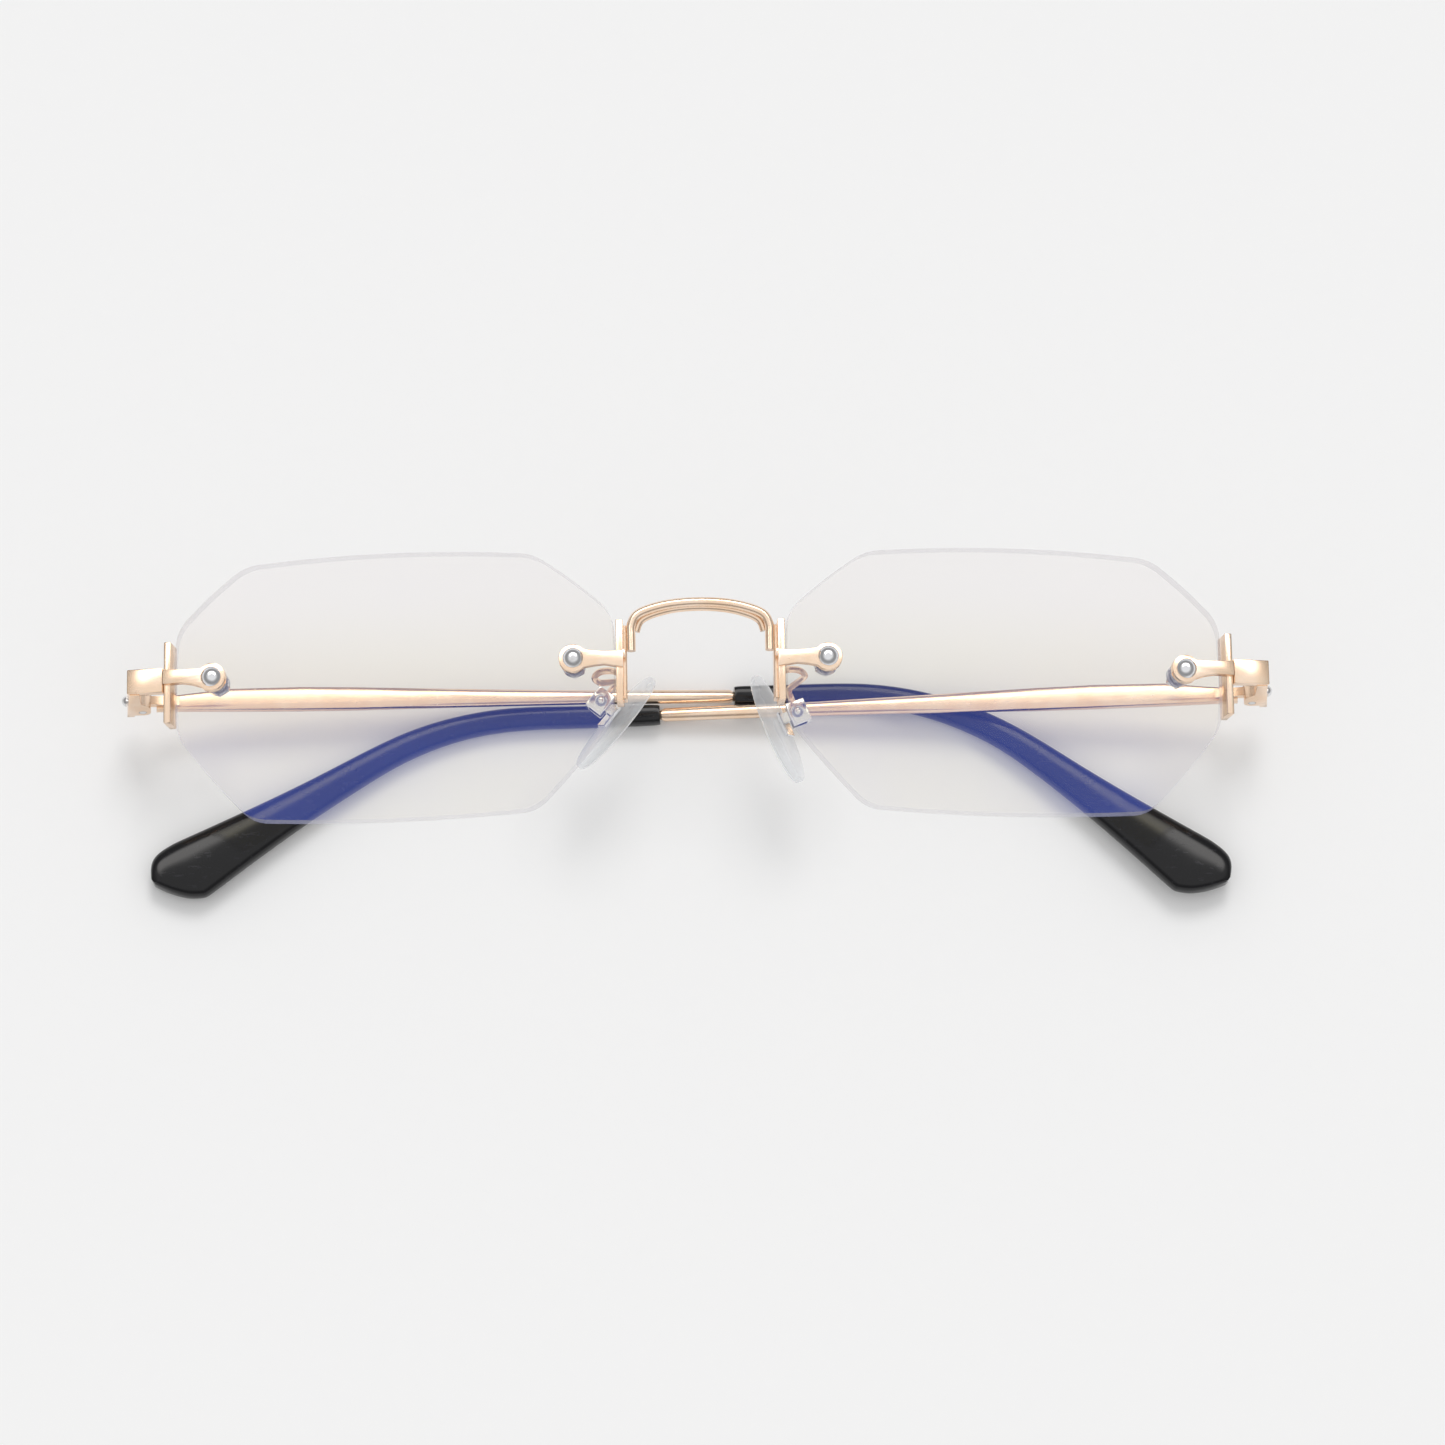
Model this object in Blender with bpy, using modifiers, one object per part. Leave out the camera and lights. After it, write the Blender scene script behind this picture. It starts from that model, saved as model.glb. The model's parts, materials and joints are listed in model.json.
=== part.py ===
"""Rimless eyeglasses, folded and lying on their temples with the lenses up. Sizes are in millimetres.

Right and left are as seen from the front. Each piece of a side is built as the right one, in the
coordinates of its own frame (an empty), and the left one is its mirror image. The glasses' own axes
are x to the viewer's right, y up the lenses and z to the front.
"""

import math

import bmesh
import bpy
from mathutils import Matrix, Vector

MM = 0.001
OBJECT_NAME = "rimless_eyeglasses"
RIGHT, LEFT = "right", "left"
SIDES = (RIGHT, LEFT)
FIT = 0.04  # gap between two pieces that touch
RUN = 0.05  # radial gap where a piece turns
FINE, COARSE = 32, 20  # sides of a turned piece

# Lens: an octagon cut from a shallow meniscus. The two lenses stand a gap apart at the nose.
LENS_GAP = 21.7
LENS_HALF_WIDTH = 27.0
LENS_WRAP = math.radians(7.5)
LENS_CENTRE_X = LENS_GAP / 2 + LENS_HALF_WIDTH * math.cos(LENS_WRAP)
LENS_RADIUS = 300.0
LENS_THICKNESS = 2.0
LENS_STOCK = 12.0  # thickness of the blank that the outline is cut from
LENS_TOP, LENS_BOTTOM = 16.3, -16.1
LENS_SIDE_UPPER, LENS_SIDE_LOWER = 8.5, -5.0
TOP_CUT_TEMPORAL, TOP_CUT_NASAL = 8.6, 9.7  # how far in from the sides the slanting edges start
BOTTOM_CUT_TEMPORAL, BOTTOM_CUT_NASAL = 9.4, 9.6
LENS_LONG_BOW, LENS_SHORT_BOW = 0.55, 0.12
LENS_LONG_EDGE = 30.0
LENS_CORNER = 2.4
HOLE_INSET = 4.8
HOLE_X = LENS_HALF_WIDTH - HOLE_INSET
NASAL_HOLE_Y, TEMPORAL_HOLE_Y = 2.3, 1.9

# Bolt through each hole, from the front to the back.
SHANK_R = 0.7
LENS_HOLE_R = SHANK_R + 0.4
STRAP_T = 1.0
HEAD_R, HEAD_H = SHANK_R + 0.55, 0.85
HEAD_EDGE = 0.12
FLANGE_R, FLANGE_T = HEAD_R + 0.25, 0.25
WASHER_R, WASHER_T = HEAD_R + 0.25, 0.3
NUT_FLATS, NUT_T = 2 * (SHANK_R + 0.55), 1.0
NUT_EDGE = 0.1
SHANK_PROUD = 0.2
STRAP_BACK = FLANGE_T + 2 * FIT
STRAP_FRONT = STRAP_BACK + STRAP_T

# Strap that holds a lens, and the shoe that runs down the lens's edge.
EYE_R = HEAD_R + 0.5
STRAP_HALF = 0.8
STRAP_NECK = 0.12  # how much wider the strap is where it leaves the eye
STRAP_NECK_AT, STRAP_WAIST_AT = 0.42, 0.62  # shares of the way to the shoe
NASAL_STRAP = (0.85, 1.25, 0.0)  # end height above and below the bolt's axis, and rise of the strap
TEMPORAL_STRAP = (1.3, 0.55, 0.5)
SHOE_GAP = 0.3
SHOE_W = 0.88
SHOE_BEHIND = 0.3
SHOE_FRONT = STRAP_BACK + 0.6
SHOE_UP, SHOE_DOWN = 4.9, 5.4
NOSE_FLANGE_W, NOSE_FLANGE_FRONT = 0.42, -0.25
NOSE_FLANGE_TRIM = 0.45
LUG_LOW, LUG_HIGH, LUG_TRIM = 0.1, 1.05, 0.05
LUG_ROUND = 0.2
EDGE_ROUND, FINE_ROUND = 0.16, 0.12
SOLDER = 0.1  # how far two soldered or brazed shapes of one piece run into each other

# Bridge: two wires, one behind the other.
BRIDGE_R = 0.6
BRIDGE_LEG_X = LENS_GAP / 2 - 2.4
BRIDGE_FOOT_Y, BRIDGE_TOP_Y = 3.2, 9.25
BRIDGE_Z, BRIDGE_FORWARD = 3.05, 0.5
# From a leg's foot to the middle: shares of the leg's x, of the height and of the forward bow.
BRIDGE_HALF = (
    (1, 0, 0),
    (1, 0.3, 0),
    (1, 0.51, 0),
    (0.935, 0.72, 0.3),
    (0.757, 0.85, 0.65),
    (0.426, 0.96, 0.9),
)
REAR_WIRE_R = 0.55
REAR_WIRE_DROP = 0.3
REAR_WIRE_WIDTH = 0.93  # share of the front wire's width
REAR_WIRE_FROM = 0.51  # share of the height at which it starts

# Nose pad, its box and the bent arm that carries it. The wearer's fitting left the two sides unlike.
PAD_SEAT = {RIGHT: (12.0, -2.6, -5.5), LEFT: (12.1, -1.0, -5.5)}
PAD_LEAN = {RIGHT: math.radians(21), LEFT: math.radians(39)}
PAD_SPLAY = math.radians(25)
PAD_LENGTH, PAD_WIDTH, PAD_T = 14.4, 7.6, 1.8
PAD_RIM, PAD_SWELL, PAD_SQUARENESS = 0.35, 0.75, 2.4
PAD_END_ANGLE = math.radians(7)
PAD_LOW = 0.6
PIVOT_R = 0.35
PIVOT_HEAD_R, PIVOT_HEAD_T, PIVOT_PROUD = PIVOT_R + 0.4, 0.4, 0.1
TAB_HALF = PIVOT_R + 0.27
BOX_X, BOX_Y, BOX_Z, BOX_WALL = 2.4, 2.9, 2.1, 0.6
BOX_BACK = -1.1
BOX_EDGE = 0.15
SLOT_CLEAR = 0.12  # between the tab and the slot's floor
PLATE_T, PLATE_Y, PLATE_Z = 0.45, 3.2, 2.4
PLATE_X = -1.75
TAB_INTO_PLATE = 0.3
ARM_R = 0.42
# The arm's route from the back of the shoe to above the box, in the glasses' axes.
ARM_ROUTE = (
    (10.25, 1.5, -0.55),
    (10.9, 1.9, -1.25),
    (12.2, 1.95, -1.9),
    (12.9, 1.45, -2.6),
    (12.2, 0.95, -3.4),
)
ARM_LEAD_IN = ((1.5, 1.1), (0.7, 0.1), (0.0, 0.0))  # up from the box and forward of it

# End piece: a front plate that turns back into a wall with two hinge ears.
END_H = 3.1
END_PLATE_T = 1.35
END_OUT = 4.5
PANTO = math.radians(5)
HINGE_X = LENS_CENTRE_X + LENS_HALF_WIDTH * math.cos(LENS_WRAP) + 4.2
HINGE_Y, HINGE_Z = 1.2, -11.0
HINGE_ROLL = {RIGHT: math.radians(-0.65), LEFT: math.radians(1.2)}
HINGE_PIN_R = 0.45
BARREL_R = HINGE_PIN_R + 0.55
WALL_OUT = BARREL_R + 1.0
WALL_END = 1.5
WALL_FLARE = 0.7
WALL_INNER = 0.1  # the wall's inner face, outside the hinge axis
WALL_INTO_PLATE = 0.45
EAR_BACK, EAR_TAPER, EAR_TAPER_IN = 0.6, 0.8, 0.35
SLOT_H = 1.2
SCREW_REACH = 5.0  # how far bores and slots run past the hinge
HINGE_HEAD_R, HINGE_HEAD_T = HINGE_PIN_R + 0.35, 0.35
RIVET_R, RIVET_H, RIVET_SHANK_R, RIVET_DEEP = 0.72, 0.55, 0.35, 0.6

# Temple: a flat bar that runs out to a round wire, and the plastic tip over the wire.
FOLD_SLOPE = math.radians(3.7)
TEMPLE_START = BARREL_R + 0.7
TEMPLE_T = 1.25
TEMPLE_INNER = WALL_OUT - TEMPLE_T
TEMPLE_MIDDLE = (TEMPLE_INNER + WALL_OUT) / 2
TEMPLE_SQUARENESS = 5.0
TEMPLE_RISE = 0.6
LEAF_LENGTH, LEAF_NECK, LEAF_OVERLAP = 4.5, 1.2, 0.3
LEAF_RISE = (0.75, 0.95)  # how the leaf's inner side rises from the barrel
# Distance along the bar, its height there and how far its middle is above the hinge's.
TEMPLE_HEIGHTS = (
    (0, 1.8, 0.0),
    (3, 2.05, 0.15),
    (9, 2.85, 0.5),
    (18, 3.05, TEMPLE_RISE),
    (25, 2.9, TEMPLE_RISE),
    (31, 2.6, TEMPLE_RISE),
    (43, 2.1, TEMPLE_RISE),
    (55, 1.75, TEMPLE_RISE),
)
WIRE_R = 0.85
WIRE_SHOULDER = 0.6  # from the end of the bare wire to the sleeve
CORE_R = 0.6
CORE_RINGS = 10
CORE_CLEAR = 0.3
TIP_START = HINGE_X + 4.9  # past the middle, where the folded temples cross
TIP_LENGTH = 67.4
TIP_EDGE = 0.25
TIP_RINGS = 16
TIP_SQUARENESS = 3.0
CORE_SHORT = 9.0
BEND_AT = TIP_START + 26.0
BEND_RADIUS = 38.0
TIP_BEND = {RIGHT: math.radians(30.5), LEFT: math.radians(38.8)}
# Where the tip bows in towards the head, and the length of that bow.
TIP_SET_AT, TIP_SET_OVER = TIP_START + 5.0, 10.0
TIP_FLARE = 0.9  # how far the paddle's end turns out again
TIP_HEIGHTS = (
    (0, 2.55),
    (10, 2.75),
    (22, 2.95),
    (33, 3.35),
    (40, 3.85),
    (47, 4.75),
    (55, 6.3),
    (62.5, 8.2),
)
TIP_THICKNESS = ((0, 2.3), (22, 2.5), (40, 3.0), (62.5, 3.5))
# The paddle's end: share of the way to it, then its upper edge, its lower edge and its thickness, as
# shares of the full half height and of the full thickness.
TIP_END_SHAPE = (
    (0.1, 1.0, 0.98, 1.0),
    (0.42, 1.0, 0.78, 0.98),
    (0.68, 0.92, 0.45, 0.92),
    (0.87, 0.7, 0.13, 0.82),
    (1.0, 0.38, -0.15, 0.6),
)

# How the folded glasses lie on the table.
REST_TILT = math.radians(1.702)
REST_ROLL = math.radians(-0.198)

GOLD = ("champagne_gold", (0.86, 0.66, 0.47, 1), 1.0, 0.18)
SILVER = ("polished_silver", (0.78, 0.78, 0.79, 1), 1.0, 0.15)
LENS = ("clear_lens", (0.95, 0.95, 0.98, 0.25), 0.0, 0.03)
CLEAR = ("clear_plastic", (0.92, 0.92, 0.93, 0.4), 0.0, 0.12)
BLACK = ("gloss_black", (0.012, 0.012, 0.014, 1), 0.0, 0.06)


# ---- scene, collections and materials


def clear_scene():
    for obj in list(bpy.data.objects):
        bpy.data.objects.remove(obj, do_unlink=True)


def collection(name):
    made = bpy.data.collections.new(name)
    bpy.context.scene.collection.children.link(made)
    return made


def material(look):
    name, colour, metallic, roughness = look
    found = bpy.data.materials.get(name)
    if found:
        return found
    made = bpy.data.materials.new(name)
    made.use_nodes = True
    made.diffuse_color = colour
    shader = made.node_tree.nodes["Principled BSDF"]
    shader.inputs["Base Color"].default_value = colour
    shader.inputs["Alpha"].default_value = colour[3]
    shader.inputs["Metallic"].default_value = metallic
    shader.inputs["Roughness"].default_value = roughness
    return made


def frame(name, parent, matrix):
    """An empty that carries pieces: a place on the glasses, or a joint's axis."""
    empty = bpy.data.objects.new(name, None)
    empty.empty_display_size = 3 * MM
    PARTS.objects.link(empty)
    empty.parent = parent
    empty.matrix_basis = matrix
    return empty


def mirrored(matrix):
    """The same placement on the other side of the glasses."""
    flip = Matrix.Scale(-1, 4, Vector((1, 0, 0)))
    return flip @ matrix @ flip


def spot(x, y, z):
    return Matrix.Translation(Vector((x, y, z)) * MM)


def turn(angle, axis):
    return Matrix.Rotation(angle, 4, axis)


# ---- shapes, each a helper object at the origin until finish() makes it a piece


def helper(data):
    obj = bpy.data.objects.new("helper", data)
    obj.hide_render = True
    obj.display_type = "WIRE"
    CUTTERS.objects.link(obj)
    return obj


def evaluated_mesh(obj):
    bpy.context.view_layer.update()
    graph = bpy.context.evaluated_depsgraph_get()
    mesh = bpy.data.meshes.new_from_object(obj.evaluated_get(graph))
    mesh.transform(obj.matrix_world)
    return mesh


def solid_from(obj):
    """A helper that holds what another helper evaluates to, with its loose caps welded."""
    mesh = evaluated_mesh(obj)
    bpy.data.objects.remove(obj, do_unlink=True)
    shape = bmesh.new()
    shape.from_mesh(mesh)
    bmesh.ops.remove_doubles(shape, verts=shape.verts, dist=0.0005 * MM)
    bmesh.ops.recalc_face_normals(shape, faces=shape.faces)
    shape.to_mesh(mesh)
    shape.free()
    return helper(mesh)


def turned(profile, sides=FINE):
    """A profile of (radius, height), down its outer side from top to bottom, turned about Z."""
    mesh = bpy.data.meshes.new("profile")
    points = [(r * MM, 0, z * MM) for r, z in profile]
    count = len(points)
    ends = count if profile[0][0] > 0 else count - 1
    mesh.from_pydata(points, [(i, (i + 1) % count) for i in range(ends)], [])
    obj = helper(mesh)
    screw = obj.modifiers.new("turn", "SCREW")
    screw.axis = "Z"
    screw.steps = screw.render_steps = sides
    screw.use_merge_vertices = True
    screw.merge_threshold = 0.0005 * MM
    return solid_from(obj)


def box(low, high):
    mesh = bpy.data.meshes.new("box")
    shape = bmesh.new()
    size = Vector(high) - Vector(low)
    middle = (Vector(high) + Vector(low)) / 2
    place = Matrix.Translation(middle * MM) @ Matrix.Diagonal((*(size * MM), 1))
    bmesh.ops.create_cube(shape, size=1, matrix=place)
    shape.to_mesh(mesh)
    shape.free()
    return helper(mesh)


def rod(radius, low, high, sides=COARSE, placed=Matrix()):
    """A round bar along Z from low to high."""
    mesh = bpy.data.meshes.new("rod")
    shape = bmesh.new()
    middle = placed @ spot(0, 0, (low + high) / 2)
    bmesh.ops.create_cone(
        shape,
        cap_ends=True,
        segments=sides,
        radius1=radius * MM,
        radius2=radius * MM,
        depth=(high - low) * MM,
        matrix=middle,
    )
    shape.to_mesh(mesh)
    shape.free()
    return helper(mesh)


def plate(outline, low, high):
    """A flat outline in X and Y, with its thickness from low to high."""
    curve = bpy.data.curves.new("outline", "CURVE")
    curve.dimensions = "2D"
    curve.fill_mode = "BOTH"
    curve.extrude = (high - low) / 2 * MM
    spline = curve.splines.new("POLY")
    spline.points.add(len(outline) - 1)
    for point, (x, y) in zip(spline.points, outline):
        point.co = (x * MM, y * MM, 0, 1)
    spline.use_cyclic_u = True
    obj = helper(curve)
    obj.location.z = (low + high) / 2 * MM
    return solid_from(obj)


def wire(points, radius, sides=2):
    """A round wire along a smooth route, with filled ends."""
    curve = bpy.data.curves.new("wire", "CURVE")
    curve.dimensions = "3D"
    curve.bevel_depth = radius * MM
    curve.bevel_resolution = sides
    curve.use_fill_caps = True
    spline = curve.splines.new("POLY")
    spline.points.add(len(points) - 1)
    for point, place in zip(spline.points, points):
        point.co = (*(Vector(place) * MM), 1)
    return solid_from(helper(curve))


def loft(rings):
    """A solid skinned over rings of points, each with the same count, and closed at both ends."""
    shape = bmesh.new()
    loops = [[shape.verts.new(Vector(p) * MM) for p in ring] for ring in rings]
    count = len(rings[0])
    for first, second in zip(loops, loops[1:]):
        for i in range(count):
            j = (i + 1) % count
            shape.faces.new((first[i], first[j], second[j], second[i]))
    shape.faces.new(loops[0][::-1])
    shape.faces.new(loops[-1])
    bmesh.ops.recalc_face_normals(shape, faces=shape.faces)
    mesh = bpy.data.meshes.new("loft")
    shape.to_mesh(mesh)
    shape.free()
    return helper(mesh)


def rounded(obj, width, segments=2):
    bevel = obj.modifiers.new("rounding", "BEVEL")
    bevel.width = width * MM
    bevel.segments = segments
    bevel.limit_method = "ANGLE"
    bevel.angle_limit = math.radians(35)
    return solid_from(obj)


def combined(obj, others, operation):
    for other in others:
        boolean = obj.modifiers.new(operation.lower(), "BOOLEAN")
        boolean.operation = operation
        boolean.object = other
    result = solid_from(obj)
    for other in others:
        bpy.data.objects.remove(other, do_unlink=True)
    return result


def joined(obj, *others):
    return combined(obj, others, "UNION")


def cut(obj, *others):
    return combined(obj, others, "DIFFERENCE")


def kept(obj, other):
    return combined(obj, [other], "INTERSECT")


def moved(obj, matrix):
    obj.data.transform(matrix)
    return obj


def finish(shape, side, piece, look, parent):
    """Turns a helper into a named piece of the glasses, mirrored if it is on the left."""
    mesh = shape.data
    bpy.data.objects.remove(shape, do_unlink=True)
    name = f"{side}_{piece}" if side else piece
    if side == LEFT:
        mesh.transform(Matrix.Scale(-1, 4, Vector((1, 0, 0))))
        mesh.flip_normals()
    mesh.name = name
    mesh.materials.clear()
    mesh.materials.append(material(look))
    mesh.shade_smooth()
    mesh.set_sharp_from_angle(angle=math.radians(35))
    obj = bpy.data.objects.new(name, mesh)
    obj.parent = parent
    PARTS.objects.link(obj)
    return obj


# ---- outlines and routes


def arc(centre, radius, start, end, steps):
    """Points on a circle from one angle to another, in degrees."""
    angles = [math.radians(start + (end - start) * i / steps) for i in range(steps + 1)]
    return [(centre[0] + radius * math.cos(a), centre[1] + radius * math.sin(a)) for a in angles]


def bowed(start, end, bow, steps):
    """Points along an edge that bows outwards, its ends left out."""
    start, end = Vector(start), Vector(end)
    out = Vector((end.y - start.y, start.x - end.x)).normalized()
    shares = [i / steps for i in range(1, steps)]
    return [start.lerp(end, t) + out * (4 * bow * t * (1 - t)) for t in shares]


def corner_arc(before, corner, after, reach, steps):
    """A round corner that starts and ends its reach away from the sharp one."""
    start = corner + (before - corner).normalized() * reach
    end = corner + (after - corner).normalized() * reach
    shares = [i / steps for i in range(steps + 1)]
    return [start.lerp(corner, t).lerp(corner.lerp(end, t), t) for t in shares]


def lens_outline():
    """The octagon, anticlockwise, with round corners and gently bowed edges."""
    half = LENS_HALF_WIDTH
    corners = [
        Vector(c)
        for c in (
            (half, LENS_SIDE_UPPER),
            (half - TOP_CUT_TEMPORAL, LENS_TOP),
            (TOP_CUT_NASAL - half, LENS_TOP),
            (-half, LENS_SIDE_UPPER),
            (-half, LENS_SIDE_LOWER),
            (BOTTOM_CUT_NASAL - half, LENS_BOTTOM),
            (half - BOTTOM_CUT_TEMPORAL, LENS_BOTTOM),
            (half, LENS_SIDE_LOWER),
        )
    ]
    points = []
    for i, corner in enumerate(corners):
        before, after = corners[i - 1], corners[(i + 1) % len(corners)]
        points += corner_arc(before, corner, after, LENS_CORNER, 6)
        long_edge = (after - corner).length > LENS_LONG_EDGE
        bow = LENS_LONG_BOW if long_edge else LENS_SHORT_BOW
        start = corner + (after - corner).normalized() * LENS_CORNER
        end = after + (corner - after).normalized() * LENS_CORNER
        points += bowed(start, end, bow, 12 if long_edge else 4)
    return [(p.x, p.y) for p in points]


def smooth_route(points, steps):
    """A Catmull-Rom curve through the points."""
    points = [Vector(p) for p in points]
    ends = [2 * points[0] - points[1], *points, 2 * points[-1] - points[-2]]
    route = []
    for a, b, c, d in zip(ends, ends[1:], ends[2:], ends[3:]):
        for i in range(steps):
            t = i / steps
            route.append(
                0.5
                * (
                    2 * b
                    + (c - a) * t
                    + (2 * a - 5 * b + 4 * c - d) * t * t
                    + (3 * b - a - 3 * c + d) * t * t * t
                )
            )
    route.append(points[-1])
    return route


def read_table(table, x):
    """The value at x, easing from each of the table's points to the next."""
    if x <= table[0][0]:
        return table[0][1]
    for (x0, y0), (x1, y1) in zip(table, table[1:]):
        if x <= x1:
            t = (x - x0) / (x1 - x0)
            return y0 + (y1 - y0) * t * t * (3 - 2 * t)
    return table[-1][1]


def ring(centre, across, up, half_across, half_up, power=2.0, count=16):
    """A round or squarish section about a centre, in the plane of two directions."""
    points = []
    for i in range(count):
        a = 2 * math.pi * (i + 0.5) / count
        c, s = math.cos(a), math.sin(a)
        x = math.copysign(abs(c) ** (2 / power), c) * half_across
        y = math.copysign(abs(s) ** (2 / power), s) * half_up
        points.append(centre + across * x + up * y)
    return points


# ---- lens and its bolts


def lens_blank():
    """A turned meniscus that is wider than the lens."""
    reach = math.hypot(LENS_HALF_WIDTH, LENS_TOP) + 2
    radii = [reach * i / 8 for i in range(9)]
    back_radius = LENS_RADIUS - LENS_THICKNESS
    front = [(r, math.sqrt(LENS_RADIUS**2 - r * r) - LENS_RADIUS) for r in radii]
    back = [(r, math.sqrt(back_radius**2 - r * r) - LENS_RADIUS) for r in radii]
    return turned(front + back[::-1], 48)


def lens():
    stock = plate(lens_outline(), -LENS_STOCK, LENS_STOCK)
    holes = [rod(LENS_HOLE_R, -LENS_STOCK, LENS_STOCK, COARSE, on_lens(x, y)) for x, y in hole_spots()]
    return cut(kept(lens_blank(), stock), *holes)


def hole_spots():
    return ((-HOLE_X, NASAL_HOLE_Y), (HOLE_X, TEMPORAL_HOLE_Y))


def on_lens(x, y):
    """A place on the lens's front with Z square to the surface."""
    sag = math.sqrt(LENS_RADIUS**2 - x * x - y * y) - LENS_RADIUS
    tilt = turn(math.asin(x / LENS_RADIUS), "Y") @ turn(-math.asin(y / LENS_RADIUS), "X")
    return spot(x, y, sag) @ tilt


def dome(radius, height, base, steps=6):
    """Profile of a domed head from its top down to its rim."""
    sphere = (radius**2 + height**2) / (2 * height)
    centre = base + height - sphere
    last = math.asin(min(1.0, radius / sphere))
    angles = [last * i / steps for i in range(steps + 1)]
    return [(sphere * math.sin(a), centre + sphere * math.cos(a)) for a in angles]


def bolt_screw():
    under = STRAP_FRONT + FIT
    nut_back = LENS_THICKNESS + WASHER_T + NUT_T + 2 * FIT
    end = -(nut_back + SHANK_PROUD)
    tip = [(SHANK_R, end + HEAD_EDGE), (SHANK_R - HEAD_EDGE, end), (0, end)]
    head = dome(HEAD_R, HEAD_H - HEAD_EDGE, under + HEAD_EDGE)
    return turned([*head, (HEAD_R, under), (SHANK_R, under), *tip])


def sleeve():
    """Clear bushing in the lens's hole, with a flange under the strap."""
    outer, inner = LENS_HOLE_R - FIT, SHANK_R + FIT
    top, seat, end = STRAP_BACK - FIT, FIT, -LENS_THICKNESS
    profile = ((inner, top), (FLANGE_R, top), (FLANGE_R, seat), (outer, seat), (outer, end), (inner, end))
    return turned(profile, COARSE)


def washer():
    top = -(LENS_THICKNESS + FIT)
    low = top - WASHER_T
    inner = SHANK_R + FIT
    return turned(((inner, top), (WASHER_R, top), (WASHER_R, low), (inner, low)), COARSE)


def nut():
    front = -(LENS_THICKNESS + WASHER_T + 2 * FIT)
    corners = NUT_FLATS / math.sqrt(3)
    blank = rounded(rod(corners, front - NUT_T, front, 6), NUT_EDGE, 1)
    return cut(blank, rod(SHANK_R + FIT, front - NUT_T - 1, front + 1))


# ---- straps and shoes, in a bolt's frame


def strap(reach, end_up, end_down, rise):
    """Eye about the bolt and an arm along +X, as a rounded plate."""
    eye = arc((0, 0), EYE_R, 40, 320, 14)
    neck = (STRAP_NECK_AT, STRAP_HALF + STRAP_NECK)
    waist = (STRAP_WAIST_AT, STRAP_HALF)
    lower = [(reach * at, rise * at - half) for at, half in (neck, waist)]
    upper = [(reach * at, rise * at + half) for at, half in (waist, neck)]
    outline = [*eye, *lower, (reach, -end_down), (reach, end_up), *upper]
    return rounded(plate(outline, STRAP_BACK, STRAP_FRONT), EDGE_ROUND)


def shoe():
    """Strip that runs down the lens's edge and keeps the lens from turning."""
    low = (shoe_reach() - SHOE_W, -SHOE_DOWN, -LENS_THICKNESS - SHOE_BEHIND)
    return rounded(box(low, (shoe_reach(), SHOE_UP, SHOE_FRONT)), EDGE_ROUND)


def shoe_reach():
    """How far the shoe's outer side is from a bolt."""
    return HOLE_INSET + LENS_SHORT_BOW + SHOE_GAP + SHOE_W


def strap_hole():
    return rod(SHANK_R + FIT, STRAP_BACK - 1, STRAP_FRONT + 1)


def nasal_mount():
    """Strap, shoe, side flange and the lug that meets the bridge, mirrored to point at the nose."""
    outer = shoe_reach()
    flange_low = (outer - SOLDER, NOSE_FLANGE_TRIM - SHOE_DOWN, -LENS_THICKNESS)
    flange_high = (outer + NOSE_FLANGE_W, SHOE_UP - NOSE_FLANGE_TRIM, NOSE_FLANGE_FRONT)
    flange = rounded(box(flange_low, flange_high), FINE_ROUND, 1)
    lug_low = (outer - 3 * SOLDER, LUG_LOW, STRAP_BACK + LUG_TRIM)
    lug = rounded(box(lug_low, (nasal_to_leg(), LUG_HIGH, STRAP_FRONT - LUG_TRIM)), LUG_ROUND)
    body = cut(joined(strap(outer, *NASAL_STRAP), shoe(), flange, lug), strap_hole())
    moved(body, Matrix.Scale(-1, 4, Vector((1, 0, 0))))
    body.data.flip_normals()
    return body


def nasal_to_leg():
    """From the nasal bolt to the near side of the bridge's leg, along the strap."""
    bolt_x = (lens_frame_matrix() @ on_lens(-HOLE_X, NASAL_HOLE_Y)).translation.x / MM
    return bolt_x - BRIDGE_LEG_X - BRIDGE_R - FIT


def temporal_mount():
    return cut(joined(strap(shoe_reach(), *TEMPORAL_STRAP), shoe()), strap_hole())


# ---- bridge


def bridge_route(start, width, drop, behind):
    """From one side over the arch to the other, starting at a share of the height, in the glasses' axes."""
    half = [row for row in BRIDGE_HALF if row[1] >= start]
    route = [*half, (0, 1, 1), *[(-x, y, z) for x, y, z in half[::-1]]]
    rise = BRIDGE_TOP_Y - BRIDGE_FOOT_Y
    return [
        (x * width * BRIDGE_LEG_X, BRIDGE_FOOT_Y + y * rise - drop, BRIDGE_Z - behind + BRIDGE_FORWARD * z)
        for x, y, z in route
    ]


def bridge_front_wire():
    return wire(smooth_route(bridge_route(0, 1, 0, 0), 4), BRIDGE_R, 3)


def bridge_rear_wire():
    behind = BRIDGE_R + REAR_WIRE_R + FIT
    route = bridge_route(REAR_WIRE_FROM, REAR_WIRE_WIDTH, REAR_WIRE_DROP, behind)
    return wire(smooth_route(route, 4), REAR_WIRE_R, 3)


# ---- nose pad, in the frame of its pivot


def pad_arm(side):
    """The bent wire from the back of the shoe to the box, in the glasses' axes."""
    up = Vector((-math.sin(PAD_LEAN[side]), math.cos(PAD_LEAN[side]), 0))
    into_box = Vector(PAD_SEAT[side]) + up * (BOX_Y / 2 + FIT)
    lead_in = [into_box + up * above + Vector((0, 0, ahead)) for above, ahead in ARM_LEAD_IN]
    return wire(smooth_route([*ARM_ROUTE, *lead_in], 3), ARM_R)


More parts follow.
